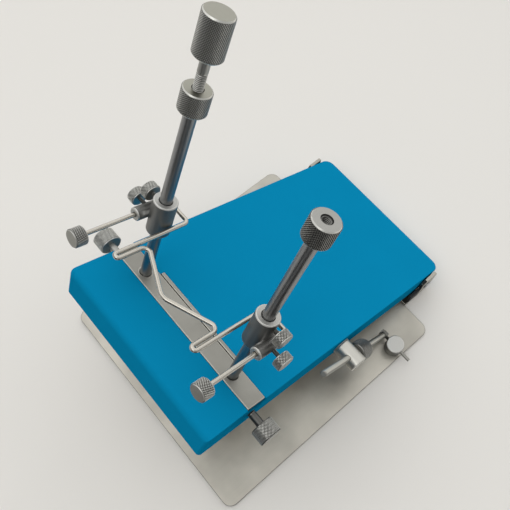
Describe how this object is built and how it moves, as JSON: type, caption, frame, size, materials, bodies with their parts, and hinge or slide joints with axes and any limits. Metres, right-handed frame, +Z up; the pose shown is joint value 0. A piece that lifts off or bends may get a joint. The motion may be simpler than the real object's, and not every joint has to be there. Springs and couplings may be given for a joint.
{
  "type": "tilting work holder",
  "caption": "Tilting box platform hinged on a flat base plate, propped by a side stay, with two posts that guide a clamped bent wire bar over the work",
  "frame": {"origin": "centre of the base plate's underside, on the bench", "axes": "+Z up, square to the base plate; +X along the base plate to the hinged, low end of the platform; +Y to the left side, away from the stay"},
  "size_m": [0.2774, 0.2282, 0.3106],
  "materials": {
    "blue_paint": "smooth satin blue paint",
    "satin_steel": "fine satin sheet steel",
    "bracket_steel": "folded satin sheet steel",
    "bar_steel": "ground bar",
    "polished_steel": "polished rod",
    "turned_steel": "turned, fine rings",
    "knurled_steel": "diamond knurl, turned ends",
    "thread_steel": "cut thread",
    "wire_steel": "drawn wire",
    "pin_steel": "ground pin",
    "screw_steel": "plain zinc-plated screw",
    "black_plastic": "moulded black",
    "black_rubber": "matt black rubber"
  },
  "bodies": {
    "base": {"base_plate": "satin_steel", "hinge_bracket": "bracket_steel", "bracket_screws_set": "screw_steel", "hinge_pins": "pin_steel", "hinge_washers": "black_plastic", "rear_pads": "black_rubber", "stay_pillar": "turned_steel", "pillar_screw": "screw_steel", "stay_pin": "pin_steel"},
    "platform": {"platform_shell": "blue_paint", "floor_sheet": "bracket_steel", "floor_screws": "screw_steel", "cross_bar": "bar_steel", "bar_screws_set": "screw_steel", "filler_strip": "bar_steel"},
    "stay_rod": {"stay_rod": "polished_steel"},
    "stay_block": {"stay_block": "turned_steel", "stay_washer": "turned_steel", "stay_clip": "screw_steel"},
    "stay_nut": {"stay_nut": "knurled_steel"},
    "left_post": {"left_post": "polished_steel", "left_head": "knurled_steel"},
    "right_post": {"right_post": "polished_steel", "right_head": "knurled_steel"},
    "top_stud": {"top_stud": "thread_steel"},
    "top_cap": {"top_cap": "knurled_steel"},
    "carriage": {"left_sleeve": "turned_steel", "right_sleeve": "turned_steel"},
    "wire_bar": {"wire_bar": "wire_steel", "left_knob": "knurled_steel", "right_knob": "knurled_steel"},
    "left_end_stud": {"left_end_stud": "thread_steel"},
    "left_end_head": {"left_end_head": "knurled_steel"},
    "left_upper_stud": {"left_upper_stud": "thread_steel"},
    "left_upper_head": {"left_upper_head": "knurled_steel"},
    "left_lower_stud": {"left_lower_stud": "thread_steel"},
    "left_lower_head": {"left_lower_head": "knurled_steel"},
    "right_end_stud": {"right_end_stud": "thread_steel"},
    "right_end_head": {"right_end_head": "knurled_steel"},
    "right_upper_stud": {"right_upper_stud": "thread_steel"},
    "right_upper_head": {"right_upper_head": "knurled_steel"},
    "right_lower_stud": {"right_lower_stud": "thread_steel"},
    "right_lower_head": {"right_lower_head": "knurled_steel"}
  },
  "joints": [
    {"name": "platform_tilt", "type": "hinge", "parent": "base", "child": "platform", "pos_m": [0.141, 0, 0.019], "axis": [0, 1, 0], "range_deg": [-25.2, 0]},
    {"name": "stay_swing", "type": "hinge", "parent": "base", "child": "stay_rod", "pos_m": [0.0805, -0.087, 0.012], "axis": [0, 1, 0], "range_deg": [-41.5, 0]},
    {"name": "stay_block_slide", "type": "slide", "parent": "stay_rod", "child": "stay_block", "axis": [-0.6505, 0, 0.7595], "range_m": [-0.017, 0]},
    {"name": "stay_nut_turn", "type": "hinge", "parent": "stay_block", "child": "stay_nut", "pos_m": [0.03866, -0.087, 0.06085], "axis": [-0.6505, 0, 0.7595], "range_deg": [-720, 720]},
    {"name": "left_post_slide", "type": "slide", "parent": "platform", "child": "left_post", "axis": [0.4258, 0, 0.9048], "range_m": [0, 0.008]},
    {"name": "right_post_slide", "type": "slide", "parent": "platform", "child": "right_post", "axis": [0.4258, 0, 0.9048], "range_m": [0, 0.008]},
    {"name": "top_stud_slide", "type": "slide", "parent": "left_post", "child": "top_stud", "axis": [0.4258, 0, 0.9048], "range_m": [-0.002, 0.004]},
    {"name": "top_cap_turn", "type": "hinge", "parent": "top_stud", "child": "top_cap", "pos_m": [0.02364, 0.0486, 0.29592], "axis": [0.4258, 0, 0.9048], "range_deg": [-725, 1445]},
    {"name": "carriage_lift", "type": "slide", "parent": "platform", "child": "carriage", "axis": [0.4258, 0, 0.9048], "range_m": [-0.044, 0.066]},
    {"name": "wire_slide", "type": "slide", "parent": "carriage", "child": "wire_bar", "axis": [0.9048, 0, -0.4258], "range_m": [-0.003, 0.03]},
    {"name": "left_end_stud_slide", "type": "slide", "parent": "platform", "child": "left_end_stud", "axis": [0, 1, 0], "range_m": [0, 0.002]},
    {"name": "left_end_head_turn", "type": "hinge", "parent": "left_end_stud", "child": "left_end_head", "pos_m": [-0.06205, 0.0884, 0.11853], "axis": [0, 1, 0], "range_deg": [0, 725]},
    {"name": "left_upper_stud_slide", "type": "slide", "parent": "carriage", "child": "left_upper_stud", "axis": [0, 1, 0], "range_m": [0, 0.001]},
    {"name": "left_upper_head_turn", "type": "hinge", "parent": "left_upper_stud", "child": "left_upper_head", "pos_m": [-0.0266, 0.0633, 0.18916], "axis": [0, 1, 0], "range_deg": [0, 725]},
    {"name": "left_lower_stud_slide", "type": "slide", "parent": "carriage", "child": "left_lower_stud", "axis": [0, 1, 0], "range_m": [0, 0.001]},
    {"name": "left_lower_head_turn", "type": "hinge", "parent": "left_lower_stud", "child": "left_lower_head", "pos_m": [-0.03307, 0.0716, 0.17894], "axis": [0, 1, 0], "range_deg": [0, 725]},
    {"name": "right_end_stud_slide", "type": "slide", "parent": "platform", "child": "right_end_stud", "axis": [0, -1, 0], "range_m": [0, 0.002]},
    {"name": "right_end_head_turn", "type": "hinge", "parent": "right_end_stud", "child": "right_end_head", "pos_m": [-0.06205, -0.0884, 0.11853], "axis": [0, -1, 0], "range_deg": [0, 725]},
    {"name": "right_upper_stud_slide", "type": "slide", "parent": "carriage", "child": "right_upper_stud", "axis": [0, -1, 0], "range_m": [0, 0.001]},
    {"name": "right_upper_head_turn", "type": "hinge", "parent": "right_upper_stud", "child": "right_upper_head", "pos_m": [-0.0266, -0.0633, 0.18916], "axis": [0, -1, 0], "range_deg": [0, 725]},
    {"name": "right_lower_stud_slide", "type": "slide", "parent": "carriage", "child": "right_lower_stud", "axis": [0, -1, 0], "range_m": [0, 0.001]},
    {"name": "right_lower_head_turn", "type": "hinge", "parent": "right_lower_stud", "child": "right_lower_head", "pos_m": [-0.03307, -0.0716, 0.17894], "axis": [0, -1, 0], "range_deg": [0, 725]}
  ],
  "couplings": [
    {"joint": "stay_swing", "follows": "platform_tilt", "ratio": 1.6235},
    {"joint": "stay_block_slide", "follows": "platform_tilt", "m_per_rad": 0.0378},
    {"joint": "top_cap_turn", "follows": "top_stud_slide", "rad_per_m": 6283.2},
    {"joint": "left_end_head_turn", "follows": "left_end_stud_slide", "rad_per_m": 6283.2},
    {"joint": "left_upper_head_turn", "follows": "left_upper_stud_slide", "rad_per_m": 12566},
    {"joint": "left_lower_head_turn", "follows": "left_lower_stud_slide", "rad_per_m": 12566},
    {"joint": "right_end_head_turn", "follows": "right_end_stud_slide", "rad_per_m": 6283.2},
    {"joint": "right_upper_head_turn", "follows": "right_upper_stud_slide", "rad_per_m": 12566},
    {"joint": "right_lower_head_turn", "follows": "right_lower_stud_slide", "rad_per_m": 12566}
  ]
}
